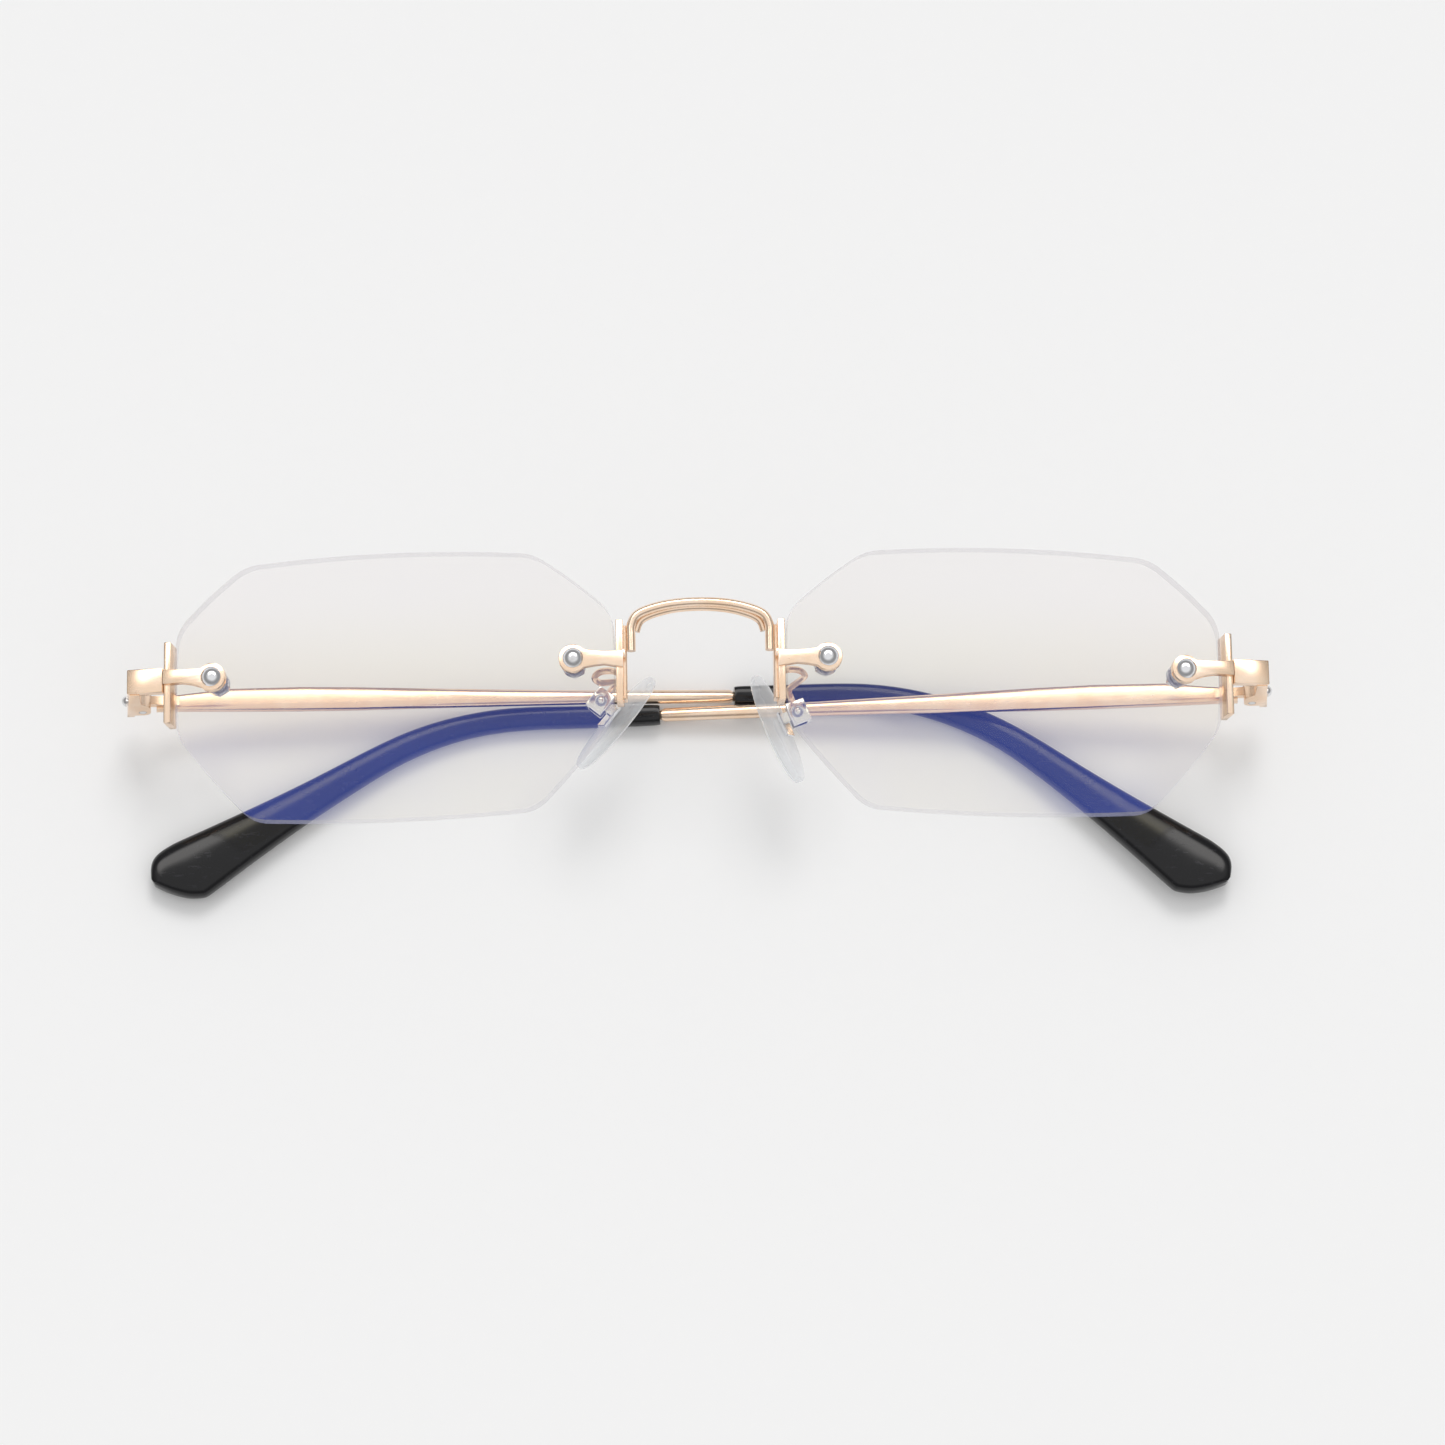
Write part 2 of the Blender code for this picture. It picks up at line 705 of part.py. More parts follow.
def pad_box():
    low = (BOX_BACK, -BOX_Y / 2, -BOX_Z / 2)
    body = rounded(box(low, (BOX_BACK + BOX_X, BOX_Y / 2, BOX_Z / 2)), BOX_EDGE)
    slot_half = BOX_Z / 2 - BOX_WALL
    slot = box((PLATE_X, -BOX_Y, -slot_half), (TAB_HALF + SLOT_CLEAR, BOX_Y, slot_half))
    return cut(body, slot, rod(PIVOT_R + RUN, -BOX_Z, BOX_Z))


def pad_pivot():
    under = BOX_Z / 2 + FIT
    end = -BOX_Z / 2 - PIVOT_PROUD
    head = dome(PIVOT_HEAD_R, PIVOT_HEAD_T, under, 4)
    return turned([*head, (PIVOT_R, under), (PIVOT_R, end), (0, end)], COARSE)


def pad_insert():
    """Tab in the box's slot, and the small plate that backs the pad."""
    half = BOX_Z / 2 - BOX_WALL - FIT
    foot = PLATE_X - TAB_INTO_PLATE
    tab = plate([(foot, -TAB_HALF), *arc((0, 0), TAB_HALF, -90, 90, 8), (foot, TAB_HALF)], -half, half)
    low = (PLATE_X - PLATE_T, -PAD_LOW - PLATE_Y / 2, -PLATE_Z / 2)
    high = (PLATE_X, -PAD_LOW + PLATE_Y / 2, PLATE_Z / 2)
    backing = moved(rounded(box(low, high), FINE_ROUND, 1), turn(-PAD_SPLAY, "Y"))
    return cut(joined(tab, backing), rod(PIVOT_R + RUN, -BOX_Z, BOX_Z))


def nose_pad():
    """Soft oval, thickest in the middle, lofted along its length."""
    centre_x = PLATE_X - PLATE_T - FIT - PAD_T / 2
    thick, wide = Vector((1, 0, 0)), Vector((0, 0, 1))
    rings = []
    for i in range(13):
        angle = PAD_END_ANGLE + (math.pi - 2 * PAD_END_ANGLE) * i / 12
        centre = Vector((centre_x, -PAD_LOW - math.cos(angle) * PAD_LENGTH / 2, 0))
        swell = math.sin(angle) ** PAD_SWELL
        half_thick = PAD_T / 2 * (PAD_RIM + (1 - PAD_RIM) * swell)
        rings.append(ring(centre, thick, wide, half_thick, PAD_WIDTH / 2 * swell, PAD_SQUARENESS))
    return moved(loft(rings), turn(-PAD_SPLAY, "Y"))


# ---- end piece and hinge, in the fixed hinge frame: X inwards, Y up the axis, Z back


def hinge_matrix(side):
    """The hinge axis along Y, with X inwards and Z back, in the glasses' axes."""
    x, y = Vector((-1, 0, 0)), Vector((0, math.cos(PANTO), -math.sin(PANTO)))
    axes = Matrix((x, y, x.cross(y))).transposed().to_4x4()
    return spot(HINGE_X, HINGE_Y, HINGE_Z) @ axes @ turn(HINGE_ROLL[side], "Z")


def upright(shape):
    """Turns a plate whose outline was given as X and Z into one that stands along Y."""
    return moved(shape, turn(math.radians(-90), "X"))


def plan(outline, low, high):
    """A plate from an outline in X and Z of the hinge frame, from low to high along Y."""
    return upright(plate([(x, -z) for x, z in outline], low, high))


def end_wall(front):
    """Side wall and the block that carries the hinge ears, from its plan."""
    relief = -BARREL_R - 2 * RUN
    return [
        (-WALL_OUT + WALL_FLARE, front),
        (-WALL_OUT, WALL_END),
        (relief, WALL_END),
        (relief, BARREL_R),
        *arc((0, 0), BARREL_R, 90, 0, 6),
        (BARREL_R - RUN, -BARREL_R - EAR_BACK),
        (EAR_TAPER_IN, -BARREL_R - EAR_BACK - EAR_TAPER),
        (-WALL_INNER, -BARREL_R - EAR_BACK - EAR_TAPER - EAR_TAPER_IN),
        (-WALL_INNER, front),
    ]


def cross_bore(radius, low, high, axis):
    """A cutter along an axis of the hinge frame: Y is the hinge's own, and Z turned onto X faces the wall."""
    return rod(radius, low, high, COARSE, turn(math.radians(90), axis))


def end_piece(side):
    """Front plate and side wall in one, with a slot between the hinge ears."""
    half = END_H / 2
    to_bolt = hinge_matrix(side).inverted() @ lens_frame_matrix() @ on_lens(HOLE_X, TEMPORAL_HOLE_Y)
    start = shoe_reach() + FIT
    corner = (start + END_OUT, half, STRAP_FRONT)
    front = moved(rounded(box((start, -half, STRAP_FRONT - END_PLATE_T), corner), EDGE_ROUND), to_bolt)
    corner_z = (to_bolt @ spot(corner[0], 0, corner[2])).translation.z / MM
    wall = rounded(plan(end_wall(corner_z + WALL_INTO_PLATE), -half, half), EDGE_ROUND)
    slot_low = (-BARREL_R - RUN, -SLOT_H / 2, -BARREL_R - 3 * RUN)
    slot = box(slot_low, (SCREW_REACH, SLOT_H / 2, SCREW_REACH))
    bore = cross_bore(HINGE_PIN_R + FIT, -SCREW_REACH, SCREW_REACH, "X")
    hole = cross_bore(RIVET_SHANK_R + FIT, -SCREW_REACH, RIVET_DEEP + FIT - WALL_OUT, "Y")
    return cut(joined(wall, front), slot, bore, hole)


def rivet():
    """Domed stud in the side wall, turned so that its head faces out."""
    face, end = WALL_OUT + FIT, WALL_OUT - RIVET_DEEP
    profile = [*dome(RIVET_R, RIVET_H, face, 4), (RIVET_SHANK_R, face), (RIVET_SHANK_R, end), (0, end)]
    return moved(turned(profile, COARSE), turn(math.radians(-90), "Y"))


def hinge_screw():
    under, end = END_H / 2 + FIT, -END_H / 2
    head = dome(HINGE_HEAD_R, HINGE_HEAD_T, under, 3)
    profile = [*head, (HINGE_PIN_R, under), (HINGE_PIN_R, end), (0, end)]
    return moved(turned(profile, COARSE), turn(math.radians(-90), "X"))


# ---- temple, in the moving hinge frame: X along it, Y up, Z outwards


def temple_path(distance, side):
    """Centre and direction of the temple at a distance from the hinge axis."""
    bend = TIP_BEND[side]
    tangent = BEND_RADIUS * math.tan(bend / 2)
    start = BEND_AT - tangent
    past = distance - start
    if past <= 0:
        return Vector((distance, 0, 0)), Vector((1, 0, 0))
    angle = min(bend, past / BEND_RADIUS)
    x = start + BEND_RADIUS * math.sin(angle)
    y = -BEND_RADIUS * (1 - math.cos(angle))
    along = Vector((math.cos(angle), -math.sin(angle), 0))
    rest = past - angle * BEND_RADIUS
    return Vector((x, y, 0)) + along * rest, along


def tip_set(distance):
    """How far the temple bows in from its straight line, by the slope at which it folds."""
    past = distance - TIP_SET_AT + TIP_SET_OVER / 2
    if past <= 0:
        return 0.0
    bow = past * past / (2 * TIP_SET_OVER) if past < TIP_SET_OVER else past - TIP_SET_OVER / 2
    flare_start = TIP_START + TIP_LENGTH / 2
    share = max(0.0, distance - flare_start) / (TIP_START + TIP_LENGTH - flare_start)
    return bow * math.tan(FOLD_SLOPE) - TIP_FLARE * share * share


def temple_section(distance, side, height, thickness, power, rise=TEMPLE_RISE):
    """One ring of a loft along the temple, square to its path."""
    centre, along = temple_path(distance, side)
    out = Vector((0, 0, 1))
    up = out.cross(along)
    centre = centre + up * rise + out * (TEMPLE_MIDDLE - tip_set(distance))
    return ring(centre, up, out, height / 2, thickness / 2, power)


def core_rings(side, radius, beyond):
    """Rings of the wire inside the tip, or of its bore, which runs on past the wire at both ends."""
    start, end = TIP_START - SOLDER, TIP_START + TIP_LENGTH - CORE_SHORT
    places = [start + (end - start) * i / CORE_RINGS for i in range(CORE_RINGS + 1)]
    places[0] -= beyond
    places[-1] += beyond
    return [temple_section(at, side, 2 * radius, 2 * radius, 2) for at in places]


def temple_bar(side):
    """Flat bar that runs out to the wire, and the thinner wire that the tip covers."""
    flat_end = TEMPLE_HEIGHTS[-1][0]
    rings = []
    for at, height, rise in TEMPLE_HEIGHTS:
        share = at / flat_end
        thickness = TEMPLE_T + (2 * WIRE_R - TEMPLE_T) * share
        power = TEMPLE_SQUARENESS + (2 - TEMPLE_SQUARENESS) * share
        rings.append(temple_section(TEMPLE_START + at, side, height, thickness, power, rise))
    rings.append(temple_section(TIP_START - WIRE_SHOULDER, side, 2 * WIRE_R, 2 * WIRE_R, 2))
    return loft(rings + core_rings(side, CORE_R, 0.0))


def temple(side):
    """The bar with its hinge leaf."""
    half = SLOT_H / 2 - RUN
    root, seat = TEMPLE_START + SOLDER, TEMPLE_INNER + LEAF_OVERLAP
    outline = [
        (0, -BARREL_R),
        (LEAF_NECK, LEAF_RISE[0] - BARREL_R),
        (LEAF_LENGTH, LEAF_RISE[1] - BARREL_R),
        (LEAF_LENGTH, seat),
        (root, seat),
        (root, TEMPLE_INNER),
        *arc((0, 0), BARREL_R, 50, 250, 13),
    ]
    bore = cross_bore(HINGE_PIN_R + RUN, -SCREW_REACH, SCREW_REACH, "X")
    return cut(joined(temple_bar(side), plan(outline, -half, half)), bore)


def temple_tip(side):
    """Plastic sleeve that swells into a paddle, bored for the temple's wire."""
    body_end = TIP_HEIGHTS[-1][0]
    rings = []
    for at in [0, TIP_EDGE, *[body_end * i / TIP_RINGS for i in range(1, TIP_RINGS + 1)]]:
        height, thickness = read_table(TIP_HEIGHTS, at), read_table(TIP_THICKNESS, at)
        trim = TIP_EDGE if at == 0 else 0.0
        rings.append(temple_section(TIP_START + at, side, height - trim, thickness - trim, TIP_SQUARENESS))
    for share, above, below, thick in TIP_END_SHAPE:
        at = TIP_START + body_end + (TIP_LENGTH - body_end) * share
        rise = TEMPLE_RISE + height * (above - below) / 4
        size = (height * (above + below) / 2, thickness * thick)
        rings.append(temple_section(at, side, *size, TIP_SQUARENESS, rise))
    return cut(loft(rings), loft(core_rings(side, CORE_R + FIT, CORE_CLEAR)))


# ---- assembly


def lens_frame_matrix():
    return spot(LENS_CENTRE_X, 0, 0) @ turn(LENS_WRAP, "Y")


def pad_matrix(side):
    return spot(*PAD_SEAT[side]) @ turn(PAD_LEAN[side], "Z")


def side_frames(side, glasses):
    """The frames that carry one side's pieces."""
    placed = mirrored if side == LEFT else (lambda matrix: matrix)
    lens_at = lens_frame_matrix()
    hinge_at = hinge_matrix(side)
    places = {
        "glasses": Matrix(),
        "lens": lens_at,
        "nasal_bolt": lens_at @ on_lens(-HOLE_X, NASAL_HOLE_Y),
        "temporal_bolt": lens_at @ on_lens(HOLE_X, TEMPORAL_HOLE_Y),
        "pad_pivot_axis": pad_matrix(side),
        "end_piece": hinge_at,
        "hinge_axis": hinge_at @ turn(-FOLD_SLOPE, "Y"),
    }
    return {key: frame(f"{side}_{key}_frame", glasses, placed(at)) for key, at in places.items()}


def build_side(side, glasses):
    frames = side_frames(side, glasses)
    finish(lens(), side, "lens", LENS, frames["lens"])
    for place, mount in (("nasal", nasal_mount), ("temporal", temporal_mount)):
        at = frames[f"{place}_bolt"]
        finish(mount(), side, f"{place}_mount", GOLD, at)
        finish(bolt_screw(), side, f"{place}_screw", SILVER, at)
        finish(sleeve(), side, f"{place}_sleeve", CLEAR, at)
        finish(washer(), side, f"{place}_washer", CLEAR, at)
        finish(nut(), side, f"{place}_nut", SILVER, at)
    pivot = frames["pad_pivot_axis"]
    finish(pad_arm(side), side, "pad_arm", GOLD, frames["glasses"])
    finish(pad_box(), side, "pad_box", SILVER, pivot)
    finish(pad_pivot(), side, "pad_screw", SILVER, pivot)
    finish(pad_insert(), side, "pad_insert", SILVER, pivot)
    finish(nose_pad(), side, "nose_pad", CLEAR, pivot)
    finish(end_piece(side), side, "end_piece", GOLD, frames["end_piece"])
    finish(rivet(), side, "side_rivet", SILVER, frames["end_piece"])
    finish(hinge_screw(), side, "hinge_screw", SILVER, frames["end_piece"])
    finish(temple(side), side, "temple", GOLD, frames["hinge_axis"])
    finish(temple_tip(side), side, "temple_tip", BLACK, frames["hinge_axis"])


def rest_on_table(glasses):
    """Tilts the glasses as they lie, and puts the middle of their box over the origin at table height."""
    glasses.matrix_basis = turn(REST_TILT, "X") @ turn(REST_ROLL, "Y")
    bpy.context.view_layer.update()
    points = [o.matrix_world @ v.co for o in PARTS.objects if o.type == "MESH" for v in o.data.vertices]
    low = Vector([min(p[i] for p in points) for i in range(3)])
    high = Vector([max(p[i] for p in points) for i in range(3)])
    shift = Vector((-(low.x + high.x) / 2, -(low.y + high.y) / 2, -low.z))
    glasses.matrix_basis = Matrix.Translation(shift) @ glasses.matrix_basis


clear_scene()
PARTS = collection(OBJECT_NAME)
CUTTERS = collection("cutters")
glasses_frame = frame("glasses_frame", None, Matrix())
finish(bridge_front_wire(), None, "bridge_front_wire", GOLD, glasses_frame)
finish(bridge_rear_wire(), None, "bridge_rear_wire", GOLD, glasses_frame)
for one_side in SIDES:
    build_side(one_side, glasses_frame)
rest_on_table(glasses_frame)
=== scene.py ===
"""Finishes, light and camera for the folded rimless eyeglasses. Lengths are in metres."""

import json
import math

import bpy
from mathutils import Matrix, Vector


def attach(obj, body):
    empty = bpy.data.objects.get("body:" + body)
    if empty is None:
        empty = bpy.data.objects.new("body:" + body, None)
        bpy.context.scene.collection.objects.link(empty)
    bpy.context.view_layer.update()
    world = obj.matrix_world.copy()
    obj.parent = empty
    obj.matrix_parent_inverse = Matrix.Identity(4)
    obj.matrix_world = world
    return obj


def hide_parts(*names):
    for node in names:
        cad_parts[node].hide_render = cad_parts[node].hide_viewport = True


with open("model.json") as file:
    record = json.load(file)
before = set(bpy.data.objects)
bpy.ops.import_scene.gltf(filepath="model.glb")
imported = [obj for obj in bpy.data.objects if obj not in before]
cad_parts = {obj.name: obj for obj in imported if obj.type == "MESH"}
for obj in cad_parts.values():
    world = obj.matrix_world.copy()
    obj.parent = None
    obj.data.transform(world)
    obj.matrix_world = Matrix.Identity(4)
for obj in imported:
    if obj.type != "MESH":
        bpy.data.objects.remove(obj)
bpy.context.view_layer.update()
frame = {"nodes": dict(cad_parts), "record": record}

MM = 0.001
SIDES = ("right", "left")
SAME_POINT = 0.000001  # corners nearer than this are one
LENS_IOR = 1.56
NODE_BODY = {n: body for body, nodes in frame["record"]["behaviour"]["bodies"].items() for n in nodes}
NODE_SLOT = {row["node"]: row["material_slot"] for row in frame["record"]["subparts"]}


# ---- shader maths


class Signal:
    """A value in a material that adds and multiplies like a number."""

    def __init__(self, recipe, socket):
        self.recipe = recipe
        self.socket = socket

    def __add__(self, other):
        return self.recipe.maths("ADD", self, other)

    def __sub__(self, other):
        return self.recipe.maths("SUBTRACT", self, other)

    def __rsub__(self, other):
        return self.recipe.maths("SUBTRACT", other, self)

    def __mul__(self, other):
        return self.recipe.maths("MULTIPLY", self, other)

    def __abs__(self):
        return self.recipe.maths("ABSOLUTE", self, 0.0)

    __radd__ = __add__
    __rmul__ = __mul__

    def held(self):
        """The value kept between nought and one."""
        return self.recipe.maths("MINIMUM", self.recipe.maths("MAXIMUM", self, 0.0), 1.0)


class Recipe:
    """The shader nodes of one material, or of the room."""

    def __init__(self, name, room=False):
        self.material = (bpy.data.worlds if room else bpy.data.materials).new(name)
        self.material.use_nodes = True
        self.tree = self.material.node_tree
        self.shader = self.tree.nodes["Background" if room else "Principled BSDF"]
        self.surface = self.tree.nodes["World Output" if room else "Material Output"].inputs["Surface"]

    def node(self, kind, settings, inputs):
        """A node of any type: its settings first, then the values or links of its sockets."""
        made = self.tree.nodes.new(kind)
        for key, value in settings.items():
            if key == "stops":
                self.set_stops(made.color_ramp, value)
            else:
                setattr(made, key, value)
        for key, value in inputs.items():
            self.feed(made.inputs[key], value)
        return made

    def set_stops(self, ramp, stops):
        while len(ramp.elements) < len(stops):
            ramp.elements.new(1.0)
        for element, (place, colour) in zip(ramp.elements, stops):
            element.position = place
            element.color = (*colour, 1.0)

    def feed(self, socket, value):
        if isinstance(value, Signal):
            self.tree.links.new(value.socket, socket)
        else:
            socket.default_value = value

    def signal(self, kind, output, settings, inputs):
        return Signal(self, self.node(kind, settings, inputs).outputs[output])

    def maths(self, operation, first, second):
        return self.signal("ShaderNodeMath", 0, {"operation": operation}, {0: first, 1: second})

    def where(self):
        return self.signal("ShaderNodeTexCoord", "Object", {}, {})

    def noise(self, scale, detail=3.0, stretch=(1, 1, 1)):
        """Cloudy noise over the piece, finer as the scale grows."""
        place = self.signal("ShaderNodeMapping", 0, {}, {"Vector": self.where(), "Scale": stretch})
        inputs = {"Vector": place, "Scale": scale, "Detail": detail, "Roughness": 0.55}
        return self.signal("ShaderNodeTexNoise", "Fac", {}, inputs)

    def axes(self, output):
        """The three parts of a texture coordinate."""
        vector = self.signal("ShaderNodeTexCoord", output, {}, {})
        parts = self.node("ShaderNodeSeparateXYZ", {}, {"Vector": vector})
        return [Signal(self, parts.outputs[i]) for i in range(3)]

    def smooth(self, value, low, high):
        """Nought below low, one above high and a soft step between."""
        settings = {"interpolation_type": "SMOOTHSTEP"}
        inputs = {"Value": value, "From Min": low, "From Max": high}
        return self.signal("ShaderNodeMapRange", 0, settings, inputs)

    def blend(self, share, first, second):
        """A colour between two colours."""
        made = self.node("ShaderNodeMix", {"data_type": "RGBA"}, {})
        self.feed(made.inputs[0], share)
        self.feed(made.inputs[6], first if isinstance(first, Signal) else (*first, 1.0))
        self.feed(made.inputs[7], second if isinstance(second, Signal) else (*second, 1.0))
        return Signal(self, made.outputs[2])

    def mixed_with(self, other, share):
        """Shows another shader, and this recipe's own by that share."""
        made = self.node("ShaderNodeMixShader", {}, {0: share})
        self.tree.links.new(other.outputs[0], made.inputs[1])
        self.tree.links.new(self.shader.outputs[0], made.inputs[2])
        self.tree.links.new(made.outputs[0], self.surface)

    def relief(self, height, strength, depth):
        """Bumps of that depth in metres, fed to the shader's normal."""
        inputs = {"Height": height, "Strength": strength, "Distance": depth}
        self.feed(self.shader.inputs["Normal"], self.signal("ShaderNodeBump", 0, {}, inputs))

    def set(self, **values):
        """Values or signals for the Principled shader's sockets, with spaces written as underscores."""
        for key, value in values.items():
            self.feed(self.shader.inputs[key.replace("_", " ")], value)


# ---- finishes


def champagne_plating():
    """Polished plating: faint polishing lines, broad clouds of two tones and small duller specks."""
    r = Recipe("champagne_plating")
    broad = r.noise(260.0, 2.0)
    lines = r.noise(900.0, 4.0, (1.0, 6.0, 6.0))
    grain = r.noise(5200.0, 2.0)
    cloud = r.smooth(broad, 0.35, 0.7)
    tone = r.blend(cloud, (0.93, 0.69, 0.50), (0.96, 0.76, 0.60))
    specks = r.smooth(r.noise(1500.0, 5.0), 0.64, 0.72)
    r.set(
        Base_Color=r.blend(specks * 0.25, tone, (0.80, 0.55, 0.38)),
        Roughness=0.15 + lines * 0.12 + grain * 0.05 + specks * 0.08,
        Metallic=1.0,
    )
    r.relief(lines * 0.6 + grain * 0.4, 0.25, 0.00001)
    return r.material


def bright_nickel():
    """Turned and polished silver-coloured screws, nuts and pad boxes."""
    r = Recipe("bright_nickel")
    rings = r.noise(2600.0, 3.0)
    dull = r.smooth(r.noise(700.0, 3.0), 0.45, 0.75)
    r.set(
        Base_Color=r.blend(dull, (0.80, 0.80, 0.82), (0.70, 0.69, 0.69)),
        Roughness=0.12 + dull * 0.12 + rings * 0.05,
        Metallic=1.0,
    )
    r.relief(rings, 0.2, 0.00001)
    return r.material


def lens_plastic():
    """Clear coated lens with a painted reflection of its coating: a painted blue glow low down where it is
    faced, faintly warm in what it lets through there.
    """
    r = Recipe("lens_plastic")
    side = 1.0 - r.smooth(abs(r.axes("Normal")[2]), 0.4, 0.6)
    # Lower half of the lens, where the painted blue reflection is strongest.
    low = 1.0 - r.smooth(r.axes("Object")[1], -0.006, 0.016)
    gloss = r.signal("ShaderNodeFresnel", 0, {}, {"IOR": LENS_IOR})
    # Fades the painted reflection away where the lens is seen at a slant.
    faced = 1.0 - r.smooth(gloss, 0.055, 0.12)
    haze = r.smooth(r.noise(90.0, 3.0), 0.3, 0.8)
    grain = r.noise(3500.0, 2.0)
    # Painted reflection of the blue coating: a diffuse colour and an emission that make the lens glow
    # though it is no lamp.
    painted_coat_reflection = r.blend(faced, (0.55, 0.55, 0.62), r.blend(low, (0.40, 0.36, 0.75), (0.16, 0.22, 0.80)))
    painted_blue_glow = r.blend(low, (0.02, 0.02, 0.12), (0.12, 0.24, 1.5))
    passed = r.blend(low * faced, (0.998, 0.99, 0.98), (1.0, 0.98, 0.84))
    r.set(
        Base_Color=r.blend(side, painted_coat_reflection, (0.62, 0.62, 0.72)),
        Roughness=0.03 + side * (0.22 + grain * 0.12),
        IOR=LENS_IOR,
        Emission_Color=r.blend(faced * (1.0 - side), (0.0, 0.0, 0.0), painted_blue_glow),
        Emission_Strength=1.0,
    )
    # How much of the painted coat reflection and glow shows over what the lens lets through; more low down.
    thin = 0.015 + low * 0.04 + haze * 0.006 + (gloss - 0.05) * 0.3
    clear = r.node("ShaderNodeBsdfTransparent", {}, {"Color": passed})
    r.mixed_with(clear, (thin * (1.0 - side) + side * 0.3).held())
    return r.material


def lens_chamfer():
    """The ground chamfer round a lens: white along its lower edges, and grey along its upper ones with
    painted shade.
    """
    r = Recipe("lens_chamfer")
    painted_shade_upward = r.smooth(r.axes("Normal")[1], -0.25, 0.25)
    grain = r.noise(3000.0, 3.0)
    r.set(
        # Painted shade: the chamfer faces that point up the lens are painted near black; the lower ones
        # keep the white of a ground edge.
        Base_Color=r.blend(painted_shade_upward, (0.95, 0.95, 0.96), (0.03, 0.03, 0.06)),
        Roughness=0.35 + grain * 0.2,
        Specular_IOR_Level=0.2,
    )
    clear = r.node("ShaderNodeBsdfTransparent", {}, {"Color": (0.95, 0.95, 0.97, 1.0)})
    r.mixed_with(clear, 0.72 + grain * 0.2)
    return r.material


def soft_silicone():
    """Clear soft pad plastic: a painted sheen makes it whiter and less clear towards its edges as they turn
    from view, and it is a little cloudy inside.
    """
    r = Recipe("soft_silicone")
    cloud = r.smooth(r.noise(420.0, 4.0), 0.35, 0.75)
    grain = r.noise(2400.0, 3.0)
    # Painted sheen: the pad turns whiter and more opaque where its surface turns away from view.
    painted_edge_sheen = r.signal("ShaderNodeLayerWeight", "Facing", {}, {"Blend": 0.45})
    r.set(
        Base_Color=r.blend(painted_edge_sheen, (0.78, 0.80, 0.83), (0.92, 0.93, 0.95)),
        Roughness=0.06 + cloud * 0.06 + grain * 0.03,
        IOR=1.43,
    )
    r.relief(grain * 0.5 + cloud * 0.5, 0.3, 0.00003)
    clear = r.node("ShaderNodeBsdfTransparent", {}, {"Color": (0.97, 0.975, 0.98, 1.0)})
    r.mixed_with(clear, (0.12 + painted_edge_sheen * painted_edge_sheen * 0.75 + cloud * 0.08).held())
    return r.material


def clear_bushing():
    """Clear hard plastic of the bushings and washers."""
    r = Recipe("clear_bushing")
    cloud = r.noise(1200.0, 3.0)
    r.set(
        Base_Color=r.blend(cloud, (0.95, 0.95, 0.97), (0.86, 0.87, 0.90)),
        Roughness=0.06 + cloud * 0.08,
        IOR=1.49,
        Transmission_Weight=0.85,
    )
    return r.material


def black_acetate():
    """Polished black tip plastic with hair-fine wear and the soft waviness that polishing leaves."""
    r = Recipe("black_acetate")
    wave = r.noise(140.0, 2.0)
    wear = r.smooth(r.noise(700.0, 6.0, (1.0, 3.0, 3.0)), 0.58, 0.70)
    grain = r.noise(4200.0, 2.0)
    r.set(
        Base_Color=r.blend(wear, (0.006, 0.006, 0.007), (0.014, 0.014, 0.017)),
        Roughness=0.11 + wear * 0.08 + grain * 0.03,
        IOR=1.33,
        Coat_Weight=0.1 + wave * 0.1,
        Coat_Roughness=0.04,
    )
    r.relief(wave * 0.9 + wear * 0.1, 0.12, 0.0001)
    return r.material


def studio_floor():
    """Matt pale paper with a barely visible tooth."""
    r = Recipe("studio_floor")
    tooth = r.noise(420.0, 4.0)
    r.set(Base_Color=r.blend(tooth, (0.895, 0.895, 0.895), (0.905, 0.905, 0.905)), Roughness=0.95)
    r.set(Specular_IOR_Level=0.0)
    return r.material


FINISHES = {
    "champagne_gold": champagne_plating(),
    "polished_silver": bright_nickel(),
    "lens_plastic": lens_plastic(),
    "clear_silicone": soft_silicone(),
    "clear_bushing": clear_bushing(),
    "black_tip_plastic": black_acetate(),
}
LENS_RIM = lens_chamfer()


# ---- pieces

HARD_EDGE = math.radians(33)  # a CAD node's facets meet at less, its real edges at more
CHAMFER_WIDTH = 0.22 * MM
CHAMFERED_EDGE = math.radians(50)
LENS_SMOOTH = math.radians(30)


def only(obj):
    bpy.ops.object.select_all(action="DESELECT")
    obj.select_set(True)
    bpy.context.view_layer.objects.active = obj


def dress(obj, slot):
    obj.data.materials.clear()
    obj.data.materials.append(FINISHES[slot])


def softened_cad(node):
    """A CAD node kept as it is, with its facets shaded as the smooth faces they stand for."""
    obj = frame["nodes"][node]
    only(obj)
    if obj.data.has_custom_normals:
        bpy.ops.mesh.customdata_custom_splitnormals_clear()
    obj.data.polygons.foreach_set("use_smooth", [True] * len(obj.data.polygons))
    weld = obj.modifiers.new("weld", "WELD")
    weld.merge_threshold = SAME_POINT
    split = obj.modifiers.new("hard_edges", "EDGE_SPLIT")
    split.split_angle = HARD_EDGE
    dress(obj, NODE_SLOT[node])


